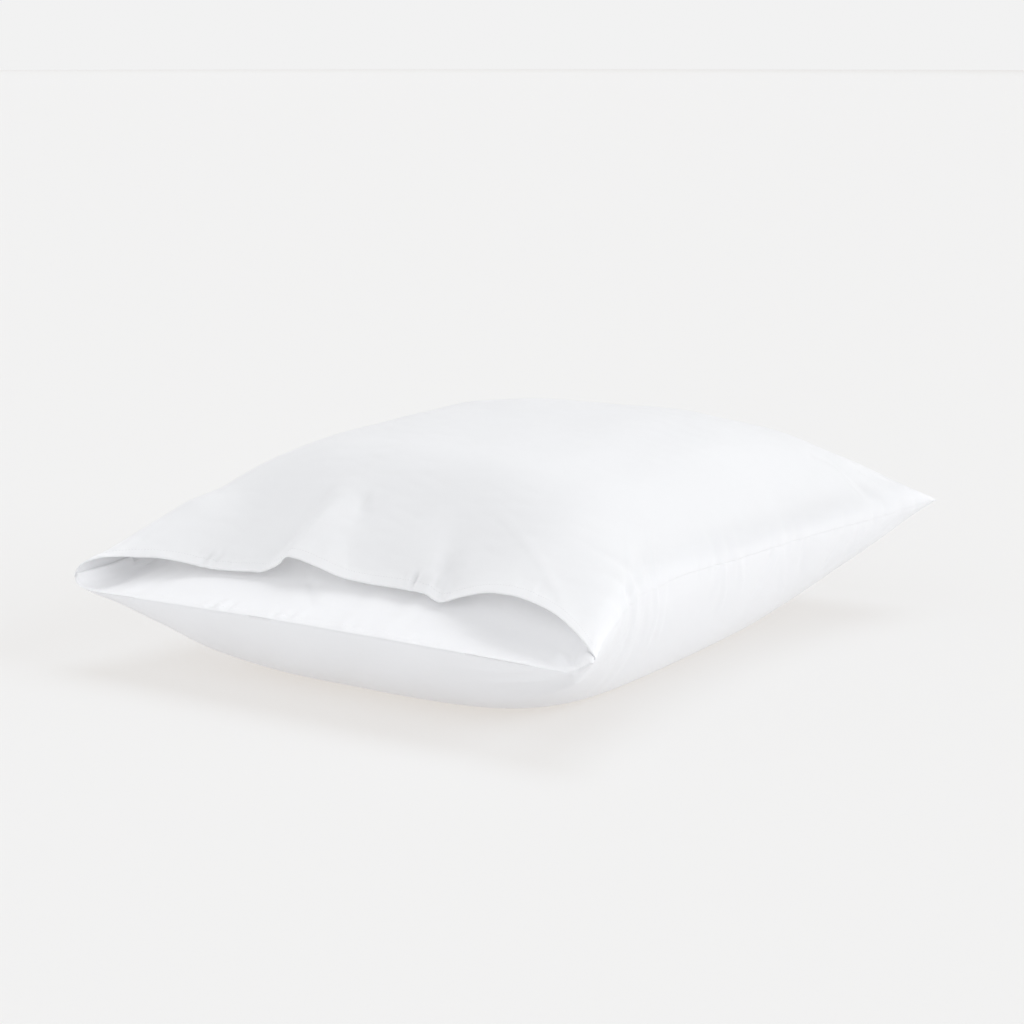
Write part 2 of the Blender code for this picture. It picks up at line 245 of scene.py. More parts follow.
# Where the hem's stitches gather it: the middle of the stretch, how far it runs to each side and
# the height of its puckers.
Gather = namedtuple("Gather", "across reach height")
GATHERS = (
    Gather(150, 42, 1.0),
    Gather(-55, 38, 1.2),
    Gather(-130, 30, 0.6),
)
RIM_GATHERS = (
    Gather(75, 50, 1.0),
    Gather(-10, 16, 0.9),
    Gather(-80, 14, 1.2),
)
GATHER_LEAST = 0.25 * MM  # the puckers' height between the stretches
GATHER_WAVE = 13 * MM  # from one pucker to the next
GATHER_RUN = 8 * MM  # how far they run from the stitches

# Ripples: from one to the next, how far they run and how high they are.
Ripple = namedtuple("Ripple", "wave reach height")
SEAM_FINE = Ripple(11 * MM, 9 * MM, 0.45 * MM)
SEAM_LONG = Ripple(31 * MM, 34 * MM, 0.85 * MM)
HEM_SLACK = Ripple(27 * MM, 26 * MM, 0.6 * MM)
RIM_SLACK = Ripple(34 * MM, 8 * MM, 0.8 * MM)
NEAR_SEED, FAR_SEED, END_SEED = 11, 23, 37  # the seams'
HEM_SEED, HEM_SLACK_SEED, RIM_SEED, RIM_SLACK_SEED = 672, 52, 1122, 62

# The cloth's own unevenness: from one hill to the next, its height and its seed.
Billow = namedtuple("Billow", "wave height seed")
BROAD = Billow(95 * MM, 0.7 * MM, 5)
FINE = Billow(19 * MM, 0.10 * MM, 6)

# The stitching, in rows a stitch's length from end to end.
STITCH_WIDTH = 0.36 * MM
STITCH_IN = 1.6 * MM  # the hem's stitches run this far inside the edge of its turned cloth
RIM_STITCH = 7 * MM  # the rim's run this far up the flap
RIM_ROUND = 3 * MM  # the flap's puckers start over this distance from the rim's fold
HEM_MARGIN = 4 * MM  # a row ends this far from the seams
RIM_MARGIN = 8 * MM
STITCH_RINGS = 6
STITCH_SIDES = 6
STITCH_SHARE = 0.39  # half a stitch's length, in pitches
STITCH_SINK = 0.9  # how far its middle lies under the thread's own half width
INNER_ROWS = 34  # rows of the flap that show in the mouth, past the front hem
LIP = 1.15 * MM  # how far inside the seam the hidden side of the back panel starts

# Finishes.
THREAD = 0.42 * MM  # from one thread of the cloth to the next
FRONT_COLOUR = (0.943, 0.955, 0.978)  # a sheet that light also goes through reflects less
BACK_COLOUR = (0.83, 0.836, 0.857)
FRONT_ROUGHNESS = 0.88
BACK_ROUGHNESS = 0.9
THROUGH_COLOUR = (0.995, 0.99, 0.982)
THROUGH = 0.34  # the share of the light that goes through the front panel's outer face
THROUGH_INSIDE = 0.96  # and through its inner one: the two stand for one thin cloth
SEAM_TURN = (1 * MM, 26 * MM)  # the cloth turned in at the seams lets no light through
THREAD_COLOUR = (0.86, 0.865, 0.885)

# The studio.
# The air is a little brighter towards the mouth and the far side: a cosine lobe about each.
AIR = 0.49
Lobe = namedtuple("Lobe", "direction strength")
LOBES = (
    Lobe((-1, 0, 0), 0.8),
    Lobe((0, 1, 0), 0.42),
)
Sun = namedtuple("Sun", "name turn rise energy")  # degrees, the turn from +X towards +Y
SUNS = (
    Sun("low_sun", 289, 21, 1.4),
    Sun("high_sun", 0, 65, 0.82),
)
SUN_SPREAD = 40  # degrees
FLOOR_COLOUR = (0.298, 0.34, 0.382)
FLOOR_GLOW = 0.50  # the floor glows by itself: painted light that keeps its shadows faint
FLOOR_GLOW_COLOUR = (1.1, 1.0, 0.9)  # a warm glow, which paints the floor's shadows warm; its own colour is bluish, so the open floor stays grey
WALL_GLOW = 0.887  # as bright as the table under the lights
WALL_RADIUS = 30  # metres
WALL_HEIGHT = 5
WALL_SIDES = 96

# The camera stands back from the case, turned from -X towards -Y and raised, in degrees.
CAMERA_TURN = 33.36
CAMERA_RISE = 12.69
CAMERA_DISTANCE = 1.939
CAMERA_TARGET = (0, 0, 0.07)
CAMERA_SENSOR = 36  # millimetres
PHOTO_WIDTH = 1024  # pixels
FOCAL_PIXELS = 1193.5 * CAMERA_DISTANCE  # at the target a metre is 1193.5 of those pixels
CAMERA_LENS = FOCAL_PIXELS * CAMERA_SENSOR / PHOTO_WIDTH
CAMERA_AIM = (-15.1 / FOCAL_PIXELS, 39 / FOCAL_PIXELS)  # how far off the target it looks


def smoothstep(low, high, x):
    t = np.clip((x - low) / (high - low), 0, 1)
    return t * t * (3 - 2 * t)


def through(rows, key, value, x):
    """A smooth curve through a table in millimetres, read at x in metres: a cubic between each
    two rows, whose slope at a row is the table's own average there."""
    keys = np.array([getattr(row, key) for row in rows]) * MM
    values = np.array([getattr(row, value) for row in rows]) * MM
    slopes = np.gradient(values, keys)
    i = np.clip(np.searchsorted(keys, x) - 1, 0, len(keys) - 2)
    span = keys[i + 1] - keys[i]
    t = np.clip((x - keys[i]) / span, 0, 1)
    rise = 3 * t**2 - 2 * t**3
    start = values[i] * (1 - rise) + span * slopes[i] * (t**3 - 2 * t**2 + t)
    return start + values[i + 1] * rise + span * slopes[i + 1] * (t**3 - t**2)


def round_off(v, power):
    """1 over most of the width, falling to 0 at the two side seams as a rounded edge."""
    return np.sqrt(np.clip(1 - np.abs(v) ** power, 0, 1))


def soft_positive(x, radius):
    """x where it is over 0 and 0 where it isn't, with the corner rounded."""
    middle = (x + radius) ** 2 / (4 * radius)
    return np.where(x > radius, x, np.where(x < -radius, 0, middle))


def half_width(u):
    """The side seams bow in between the corners."""
    return WIDTH / 2 - WAIST_DRAW * (4 * u * (1 - u)) ** WAIST_POWER


def plan(u, v):
    """The place seen from above: u along the length, v across the drawn-in width."""
    x = LENGTH * (u - 0.5) - END_DRAW * (1 - v**2) * smoothstep(0.5, 1, u)
    return x, v * half_width(u)


def bow(level, u):
    """A parabola through the level's three heights."""
    handle = 2 * level.middle - (level.mouth + level.closed) / 2
    return level.mouth * (1 - u) ** 2 + handle * 2 * u * (1 - u) + level.closed * u**2


def between_sides(near, far, v):
    return (near * (1 - v) + far * (1 + v)) / 2


def middle_level(u, v):
    return between_sides(bow(NEAR_LEVEL, u), bow(FAR_LEVEL, u), v)


def seam_level(u, v):
    along = u * LENGTH
    near = through(SEAM, "along", "near", along)
    far = through(SEAM, "along", "far", along)
    return between_sides(near, far, v)


def fullness(fill, u, v):
    """0 at the seams and 1 over the middle, as a rounded rectangle swells."""
    w = 2 * (u - fill.start) / (1 - fill.start) - 1
    inside = (1 - np.abs(v) ** fill.across) * (1 - np.abs(w) ** fill.along)
    return np.clip(inside, 0, 1) ** fill.edge


def from_level(u, v, full):
    """The middle level, turned into the seams' own heights where the filling is thin."""
    return middle_level(u, v) + (seam_level(u, v) - middle_level(u, v)) * (1 - full) ** 2


def fold_shape(x, y, fold):
    """A bell across the line from (x0, y0) to (x1, y1), wider on one side than on the other. It
    ends as a half bell before the line's start and sinks smoothly to nothing at its end."""
    start = np.array([fold.x0, fold.y0]) * MM
    step = np.array([fold.x1, fold.y1]) * MM - start
    length = np.hypot(*step)
    along = ((x - start[0]) * step[0] + (y - start[1]) * step[1]) / length
    across = ((y - start[1]) * step[0] - (x - start[0]) * step[1]) / length
    width = np.where(across < 0, fold.near, fold.far) * MM
    before = np.minimum(along, 0)
    return np.exp(-(across**2 + before**2) / width**2) * (1 - smoothstep(0.3, 1, along / length))


def folds(x, y):
    return sum(fold.height * MM * fold_shape(x, y, fold) for fold in FOLDS)


def setback(v):
    forward = FAR_EAR_FORWARD * smoothstep(0.9, 1, v)
    return EAR_SETBACK + SETBACK * (1 - np.abs(v) ** 6) - forward


def hem_u(v):
    return setback(v) / LENGTH


def full_top(u, v):
    """The front panel as if its hem were drawn tight over the filling."""
    full = fullness(TOP_FILL, u, v)
    return from_level(u, v, full) + CROWN * full


def hem_height(v):
    """The hem's own height: the line between the ears, with the table's lifts on it."""
    ears = between_sides(SEAM[0].near * MM, SEAM[0].far * MM, v)
    at_seam = (seam_level(hem_u(v), v) - ears) * np.abs(v) ** SIDE_POWER
    lift = through(HEM, "across", "lift", v * half_width(hem_u(v)))
    power = np.where(v < 0, NEAR_EAR_POWER, FAR_EAR_POWER)
    return ears + at_seam + lift * round_off(v, power)


def top(u, v):
    """The front panel: the full form, drawn down to the hem near the mouth, with its folds."""
    x, y = plan(u, v)
    in_from_hem = np.clip((u * LENGTH - setback(v)) / HEM_REACH, 0, 1)
    draw = (1 - in_from_hem) ** 2 * (1 + HEM_ROUND * in_from_hem)
    height = full_top(u, v) - (full_top(hem_u(v), v) - hem_height(v)) * draw
    return height + folds(x, y) * round_off(v, SIDE_POWER)


def rim_sag(v):
    corner = np.where(v < 0, np.clip((1 + v) / RIM_CORNER, 0, 1), 1)
    return RIM_DROP * round_off(v, RIM_POWER) * corner - RIM_BOW * (1 - v**2)


def flap(u, v):
    """The flap: up from the rim at its table's slope, then climbing in a parabola."""
    y = v * half_width(u)
    runs = u * LENGTH / FLAP_RUN
    seam_rise = (seam_level(u, v) - seam_level(0 * u, v)) * np.abs(v) ** SIDE_POWER
    rise = through(FLAP, "across", "rise", y) * runs
    climb = FLAP_CLIMB * np.maximum(runs - FLAP_CLIMB_START, 0) ** 2
    behind = smoothstep(*ARCH_FILL_RUN, u * LENGTH - setback(v))
    lie = ARCH_FILL * behind * (1 - smoothstep(*ARCH_FILL_SIDE, y))
    start = seam_level(0 * u, v) - rim_sag(v)
    return start + seam_rise + round_off(v, SIDE_POWER) * (rise + climb + lie)


def belly(u, v):
    """The under side: down from the seams and the rim, and level where it meets the floor."""
    slack = FAR_EAR_SLACK * smoothstep(FAR_EAR_SIDE, 1, v) * (1 - smoothstep(0, FAR_EAR_LENGTH, u))
    full = fullness(BELLY_FILL, u, v) * (1 - slack)
    sag = rim_sag(v) * (1 - smoothstep(0, RIM_FADE, u))
    return soft_positive(from_level(u, v, full) - sag - BELLY * full, FLOOR_ROUND)


def pulled_in(points):
    """The near side with its upright folds: each moves the points behind a leaning line in."""
    x, y, z = np.moveaxis(points, -1, 0).copy()
    for pull in PULLS:
        line = pull.x * MM + pull.lean * (PULL_LEVEL - z)
        weight = np.exp(-(((x - line) / (pull.width * MM)) ** 2))
        weight *= smoothstep(pull.low * MM - PULL_FADE, pull.low * MM + PULL_FADE, z)
        weight *= 1 - smoothstep(pull.high * MM - PULL_FADE, pull.high * MM + PULL_FADE, z)
        weight *= 1 - smoothstep(PULL_DEEPEST_Y - PULL_FADE_Y, PULL_DEEPEST_Y, y)
        y += pull.depth * MM * weight
    return np.stack([x, y, z], axis=-1)


def row_shift():
    """From the surfaces' own middle to the row frame: the rim is the back panel's lowest x, and
    its closed corners are its lowest and highest y."""
    low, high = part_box("back_panel")
    return np.array([low.x + LENGTH / 2, (low.y + high.y) / 2, 0])


SHIFT = row_shift()


def placed(u, v, height):
    return pulled_in(np.stack([*plan(u, v), height], axis=-1)) + SHIFT


def lengths(points, axis=0):
    """How far each point of a grid lies along its own line from the grid's first row or column."""
    step = np.linalg.norm(np.diff(points, axis=axis), axis=-1)
    return np.insert(np.cumsum(step, axis=axis), 0, 0, axis=axis)


def normals(points):
    """The unit normal at each point of a grid, from the steps to its neighbours."""
    cross = np.cross(np.gradient(points, axis=0), np.gradient(points, axis=1))
    return cross / np.maximum(np.linalg.norm(cross, axis=-1, keepdims=True), 1e-12)


def columns():
    """v for the columns, evenly spaced along the cloth of the case's middle cross-section, and
    one more right beside each seam."""
    v = np.sin(np.pi / 2 * np.linspace(-1, 1, 4001))
    across = lengths(placed(0 * v + 0.5, v, top(0 * v + 0.5, v)))
    even = np.linspace(0, across[-1], COLUMNS + 1)
    places = np.sort(np.append(even, [SEAM_EDGE, across[-1] - SEAM_EDGE]))
    return np.interp(places, across, v)[None, :]


def panel_rows(v):
    """u for the front panel's rows, evenly spaced along the cloth of its middle, but closer by
    the hem, and one more right beside the closed end: a row's share of the length is its
    distance along, weighted by 1 plus a bell."""
    s = np.sin(np.pi / 2 * np.linspace(0, 1, 4001)) ** 2
    u = hem_u(0) + (1 - hem_u(0)) * s
    along = lengths(placed(u, 0 * u, top(u, 0 * u)))
    weight = np.insert(np.diff(along) * (1 + 0.7 * np.exp(-along[1:] / (30 * MM))), 0, 0)
    share = np.cumsum(weight)
    places = np.linspace(0, share[-1], PANEL_ROWS + 1)
    places = np.insert(places, -1, share[-1] - SEAM_EDGE)
    s = np.interp(places, share, s)[:, None]
    return hem_u(v) + (1 - hem_u(v)) * s


def mouth_rows(v):
    """u for the rows of the mouth, from the rim to under the hem, closest at the rim's fold."""
    return np.linspace(0, 1, MOUTH_ROWS + 1)[:-1, None] ** 1.6 * hem_u(v)


def from_seams(points):
    """Each point's distance along the cloth to the nearest seam, rounded off in the corners: the
    fourth root of one over the sum of the distances' fourth powers, each turned over."""
    across, along = lengths(points, axis=1), lengths(points, axis=0)
    parts = across, across[:, -1:] - across, along[-1:] - along
    return sum(np.maximum(part, 1e-6) ** -4.0 for part in parts) ** -0.25


def seam_outward(u, v, normal, distance):
    """The cloth's normal, turned level and outward right at a seam."""
    side = np.abs(v) ** 400 * np.sign(v)
    end = np.clip(2 * u - 1, 0, 1) ** 400
    level = np.stack([end + 0 * v, side + 0 * u, 0 * u + 0 * v], axis=-1)
    length = np.linalg.norm(level, axis=-1, keepdims=True)
    level = level / np.maximum(length, 1e-9)
    share = np.exp(-((distance / TURN_LEVEL) ** 2))[..., None] * (length > 0.1)
    mixed = normal * (1 - share) + level * share
    return mixed / np.linalg.norm(mixed, axis=-1, keepdims=True)


def turned_cloth(from_edge, depth):
    """1 where the cloth is turned in double, up to a depth from its edge, and 0 past a step."""
    return 1 - smoothstep(depth - HEM_STEP, depth + HEM_STEP, from_edge)


def stitch_groove(from_row):
    """How far a row of stitches sinks in: a narrow bell across the row."""
    return STITCH_GROOVE * np.exp(-((from_row / STITCH_GROOVE_WIDTH) ** 2))


def ripple(x, wave, seed, waves=7, spread=0.4):
    """An uneven ripple along x of about one unit: a sum of sines whose lengths are spread about
    one wave, swelled and stilled by a second, slower sum of the same kind."""
    random = np.random.RandomState(seed)
    total, slow = 0 * x, 0 * x
    for _ in range(waves):
        turn = 2 * np.pi / (wave * (1 + spread * random.uniform(-1, 1)))
        total = total + np.sin(turn * x + random.uniform(0, 2 * np.pi))
        drift = 2 * np.pi / (wave * random.uniform(3, 9))
        slow = slow + np.sin(drift * x + random.uniform(0, 2 * np.pi))
    return total / np.sqrt(waves) * smoothstep(-1.2, 1.6, slow / np.sqrt(waves))


def billows(x, y, wave, seed, waves=14):
    """Soft hills and hollows over a plane, of about one unit: a sum of sines that run in many
    directions and have lengths about one wave."""
    random = np.random.RandomState(seed)
    total = 0 * x
    for _ in range(waves):
        heading = random.uniform(0, 2 * np.pi)
        turn = 2 * np.pi / (wave * random.uniform(0.65, 1.6))
        across = x * np.cos(heading) + y * np.sin(heading)
        total = total + np.sin(turn * across + random.uniform(0, 2 * np.pi))
    return total / np.sqrt(waves)


def smooth_line(points, cuts=3):
    """A line with its corners cut off at a quarter of each side, a few times over."""
    line = np.array(points, float) * MM
    for _ in range(cuts):
        first, last = line[:1], line[-1:]
        a, b = line[:-1], line[1:]
        cut = np.stack([0.75 * a + 0.25 * b, 0.25 * a + 0.75 * b], axis=1).reshape(-1, 3)
        line = np.concatenate([first, cut[1:-1], last])
    return line


def crease_height(points, normal, crease):
    """A crease's height at each point: a bell across its line, as wide as the side of the line
    asks, from its start's share of the height to nothing at its end."""
    line = smooth_line(crease.line)
    low, high = line.min(axis=0), line.max(axis=0)
    reach = 3 * max(crease.left, crease.right) * MM
    close = ((points > low - reach) & (points < high + reach)).all(axis=-1)
    height = np.zeros(points.shape[:-1])
    if not close.any():
        return height
    at = points[close]
    start, step = line[:-1], np.diff(line, axis=0)
    span = (step**2).sum(axis=1)
    t = np.clip(((at[:, None] - start) * step).sum(axis=-1) / span, 0, 1)
    apart = at[:, None] - start - t[..., None] * step
    gap = (apart**2).sum(axis=-1)
    nearest = gap.argmin(axis=1)
    row = np.arange(len(at))
    gap, t, apart = gap[row, nearest], t[row, nearest], apart[row, nearest]
    run = np.insert(np.cumsum(np.sqrt(span)), 0, 0)
    along = (run[nearest] + t * np.sqrt(span)[nearest]) / run[-1]
    left = (np.cross(step[nearest], apart) * normal[close]).sum(axis=-1) > 0
    width = np.where(left, crease.left, crease.right) * MM
    share = crease.start + (1 - crease.start) * smoothstep(0, 0.35, along)
    share = share * (1 - smoothstep(0.55, 1, along))
    height[close] = crease.height * MM * share * np.exp(-gap / width**2)
    return height


def creases(points, normal):
    return sum(crease_height(points, normal, crease) for crease in CREASES)


def seam_puckers(along, distance, seed):
    """Short gathers that run out from a seam: fine ones that fade within a few millimetres, and
    longer ones that reach further over the cloth."""
    fine = ripple(along, SEAM_FINE.wave, seed) * np.exp(-distance / SEAM_FINE.reach)
    longer = ripple(along + 0.25 * distance, SEAM_LONG.wave, seed + 1)
    longer = longer * np.exp(-distance / SEAM_LONG.reach)
    return SEAM_FINE.height * fine + SEAM_LONG.height * longer


def gathered(y, along, from_stitches, gathers, seed):
    """The puckers of a row of stitches: a ripple along it, which fades from the row as a bell and
    is as high as the table's own bells along the row say."""
    height = GATHER_LEAST
    for gather in gathers:
        offset = (y / MM - gather.across) / gather.reach
        height = height + gather.height * MM * np.exp(-(offset**2))
    beside = np.exp(-((from_stitches / GATHER_RUN) ** 2))
    return height * beside * ripple(along, GATHER_WAVE, seed)


def seam_work(points, u, v):
    """What the seams do to the cloth beside them: its height off the plain form, and its
    distance from the nearest seam. In the corners the sides' gathers give way to the end's."""
    distance = from_seams(points)
    near = seam_puckers(u * LENGTH + 0 * v, distance, NEAR_SEED)
    far = seam_puckers(u * LENGTH + 0 * v, distance, FAR_SEED)
    end = seam_puckers(v * WIDTH / 2 + 0 * u, distance, END_SEED)
    along = lengths(points, axis=0)
    across = lengths(points, axis=1)
    to_end = along[-1:] - along
    to_side = np.minimum(across, across[:, -1:] - across)
    share = smoothstep(-CORNER_BLEND, CORNER_BLEND, to_end - to_side)
    gathers = np.where(v < 0, near, far) * share + end * (1 - share)
    groove = SEAM_GROOVE * np.exp(-distance / SEAM_GROOVE_WIDTH)
    return gathers * (0.4 + 0.6 * np.exp(-distance / GATHERS_SETTLE)) - groove, distance


def soft_forms(points):
    """The cloth's own unevenness over the filling, broad and fine."""
    x, y, z = np.moveaxis(points, -1, 0)
    broad = BROAD.height * billows(x, y + z, BROAD.wave, BROAD.seed)
    fine = FINE.height * billows(x + z, y - z, FINE.wave, FINE.seed)
    return broad + fine


def front_face(v):
    """The outer face of the front panel: the filled form, its stand-off, the seams' gathers, the
    creases and the hem's puckers, each along the cloth's normal."""
    u = panel_rows(v)
    form = placed(u, v + 0 * u, top(u, v))
    normal = normals(form)
    seams, distance = seam_work(form, u, v)
    outward = seam_outward(u, v, normal, distance)
    from_hem = lengths(form, axis=0)
    along_hem = lengths(form, axis=1)[:1]
    hem = HEM_SWELL * turned_cloth(from_hem, HEM_DEPTH)
    hem = hem - stitch_groove(from_hem - HEM_DEPTH + HEM_GROOVE_IN)
    puckers = gathered(form[..., 1], along_hem, from_hem - HEM_DEPTH, GATHERS, HEM_SEED)
    slack = ripple(along_hem + 0.3 * from_hem, HEM_SLACK.wave, HEM_SLACK_SEED)
    puckers = puckers + HEM_SLACK.height * slack * np.exp(-from_hem / HEM_SLACK.reach)
    away = smoothstep(0, STILL, distance)
    work = STAND_OFF + seams + creases(form, normal) + soft_forms(form) * away
    work = work + (hem + puckers) * (0.3 + 0.7 * away)
    return u, form + work[..., None] * outward, from_hem, distance


def under_face(u, v):
    """The outer face of the belly, the same way, and flat where it rests on the floor."""
    form = placed(u, v + 0 * u, belly(u, v))
    normal = -normals(form)
    seams, distance = seam_work(form, u, v)
    outward = seam_outward(u, v, normal, distance)
    z = form[..., 2]
    lifted = smoothstep(0, BELLY_LIFT, z)
    by_seam = np.exp(-((distance / BELLY_STAND_OFF) ** 2)) * smoothstep(0, 0.02, u)
    work = STAND_OFF * by_seam + creases(form, normal) + seams
    work = work + soft_forms(form) * smoothstep(0, STILL, distance)
    face = form + (work * lifted)[..., None] * outward
    face[..., 2] = np.maximum(face[..., 2], 0)
    return face


def lining(u, v, face, distance, lying):
    """What lies under the front panel: the flap in the mouth, and a little inside the panel
    further in. Its depth under the panel's inner face runs out at the seams."""
    inset = CLOTH + SEAM_GAP + INSIDE_GAP * smoothstep(0, 20 * MM, distance)
    inner = face - inset[..., None] * normals(face)
    gap = soft_positive(top(u, v) - flap(u, v), MEET_ROUND) * (1 - np.abs(v) ** SEAM_POWER)
    inner[..., 2] -= gap * (1 - smoothstep(0, 30 * MM, top(u, v) - flap(u, v) - gap))
    return inner + (lying - inner) * smoothstep(0, FLAP_LEAVES, gap)[..., None]


def quads(index):
    """A grid's faces, which face up where its rows run along +X and its columns along +Y."""
    a, b = index[:-1, :-1], index[1:, :-1]
    c, d = index[1:, 1:], index[:-1, 1:]
    return np.stack([a, b, c, d], axis=-1).reshape(-1, 4)


def strip(a, b):
    """The faces between two lines of points, which run back along the first."""
    return np.stack([a[1:], a[:-1], b[:-1], b[1:]], axis=-1)


def thinned(fine, coarse, at):
    """Triangles from a line of points to one with fewer, where coarse point k lies beside fine
    point at[k]: each step of the fine line goes to the nearest coarse point, and each step of
    the coarse line to the fine point where that changes. Where the lines share an end point,
    the triangle that would have it twice is left out."""
    middle = np.arange(len(fine) - 1) + 0.5
    nearest = np.abs(middle[:, None] - at).argmin(axis=1)
    steps = np.stack([fine[:-1], coarse[nearest], fine[1:]], axis=-1)
    change = np.searchsorted(nearest, np.arange(1, len(at)))
    gaps = np.stack([coarse[:-1], coarse[1:], fine[change]], axis=-1)
    faces = np.concatenate([steps, gaps])
    return faces[(faces[:, 0] != faces[:, 1]) & (faces[:, 1] != faces[:, 2])]


def cloth_object(name, points, faces, flat, material, edges=0):
    """A mesh of points and faces, with each point's place on the flat cloth. The last few parts
    of the faces may be cut edges, which aren't shaded as one with the cloth beside them."""
    mesh = bpy.data.meshes.new(name)
    mesh.from_pydata(points.tolist(), [], [face for part in faces for face in part.tolist()])
    attribute = mesh.attributes.new("flat", "FLOAT_VECTOR", "POINT")
    attribute.data.foreach_set("vector", flat.astype(np.float32).ravel())
    counts = [len(part) for part in faces]
    smooth = np.arange(sum(counts)) < sum(counts[: len(counts) - edges])
    mesh.polygons.foreach_set("use_smooth", smooth)
    mesh.materials.append(material)
    return put_in_scene(name, mesh)


def flat_places(points, start=0.0):
    """Each point's place on the cloth before it was sewn: its distances across and along."""
    across = lengths(points, axis=1)
    along = lengths(points, axis=0) + start
    across = across - across[:, -1:] / 2
    return np.stack([across, along, 0 * along], axis=-1)


def make_front_cloth(materials, face, from_hem, distance):
    """The front panel: its outer face, its inner face a cloth's thickness in, and a round edge
    along the hem, where the cloth is doubled over."""
    doubled = turned_cloth(from_hem, HEM_DEPTH) * smoothstep(0, HEM_THINS, distance)
    thick = CLOTH * (1 + HEM_THICKER * doubled)
    inner = face - thick[..., None] * normals(face)
    out = face[0] - face[2]
    out = out / np.linalg.norm(out, axis=-1, keepdims=True)
    edge = (face[0] + inner[0]) / 2 + 0.5 * thick[0][:, None] * out
    count = face.shape[0] * face.shape[1]
    o = np.arange(count).reshape(face.shape[:2])
    n = o + count
    m = 2 * count + np.arange(face.shape[1])
    hem_ends = np.array([[o[0, 0], m[0], n[0, 0]], [n[0, -1], m[-1], o[0, -1]]])
    faces = [
        quads(o),
        quads(n)[:, ::-1],
        strip(o[0, ::-1], m[::-1]),
        strip(m[::-1], n[0, ::-1]),
        strip(o[-1], n[-1]),
        strip(o[:, 0], n[:, 0]),
        strip(o[::-1, -1], n[::-1, -1]),
        hem_ends,
    ]
    points = np.concatenate([face.reshape(-1, 3), inner.reshape(-1, 3), edge])
    places = flat_places(face)
    flat = np.concatenate([places.reshape(-1, 3), places.reshape(-1, 3), places[0]])
    front = cloth_object("front_cloth", points, faces, flat, materials[0], edges=4)
    front.data.materials.append(materials[1])
    doubled = 1 - smoothstep(*SEAM_TURN, distance)
    doubled = np.concatenate([doubled.ravel(), doubled.ravel(), doubled[0]])
    attribute = front.data.attributes.new("doubled", "FLOAT", "POINT")
    attribute.data.foreach_set("value", doubled.astype(np.float32))
    slots = np.repeat([0, 1, 0], [len(faces[0]), len(faces[1]), sum(map(len, faces[2:]))])
    front.data.polygons.foreach_set("material_index", slots.astype(np.int32))
    return front


def make_back_cloth(material, under, upper):
    """The back panel with its filling: the belly, the flap in the mouth, and what the front
    panel hides, which has fewer columns and starts at a small lip inside the seams. In the two
    ears the flap's last face is cut across, so that it shares no triangle with the belly's."""
    rows, count = under.shape[:2]
    shown = MOUTH_ROWS + INNER_ROWS
    ring = np.arange(rows * count).reshape(rows, count)
    mouth = ring[:shown].copy()
    mouth[1:, 1:-1] = np.arange((shown - 1) * (count - 2)).reshape(shown - 1, -1) + rows * count
    at = np.arange(HIDDEN_STEP, count - HIDDEN_STEP, HIDDEN_STEP)
    at = np.concatenate([[0, 1], at, [count - 2, count - 1]])
    hidden = np.arange((rows - shown) * (len(at) - 2)).reshape(rows - shown, -1)
    hidden = hidden + mouth.max() + 1
    hidden = np.concatenate([ring[shown:, :1], hidden, ring[shown:, -1:]], axis=1)
    inside = upper[shown:, at]
    inside[:, 1] = under[shown:, 0] + [0, LIP, 0]
    inside[:, -2] = under[shown:, -1] - [0, LIP, 0]
    inside[-1] = under[-1, at] - [LIP, 0, 0]
    near, far = quads(mouth[:2, :2])[0], quads(mouth[:2, -2:])[0]
    ears = np.stack([near[[0, 1, 2]], near[[0, 2, 3]], far[[0, 1, 3]], far[[1, 2, 3]]])
    faces = [
        quads(ring)[:, ::-1],
        np.delete(quads(mouth), [0, count - 2], axis=0),
        ears,
        quads(hidden),
        thinned(mouth[-1], hidden[0], at),
        thinned(ring[-1], hidden[-1], at)[:, ::-1],
    ]
    points = [under.reshape(-1, 3), upper[1:shown, 1:-1].reshape(-1, 3)]
    points = np.concatenate([*points, inside[:, 1:-1].reshape(-1, 3)])
    places = [flat_places(under), flat_places(upper, FLAT[1])]
    flat = [places[0].reshape(-1, 3), places[1][1:shown, 1:-1].reshape(-1, 3)]
    flat = np.concatenate([*flat, places[1][shown:, at][:, 1:-1].reshape(-1, 3)])
    return cloth_object("back_cloth", points, faces, flat, material, edges=3)


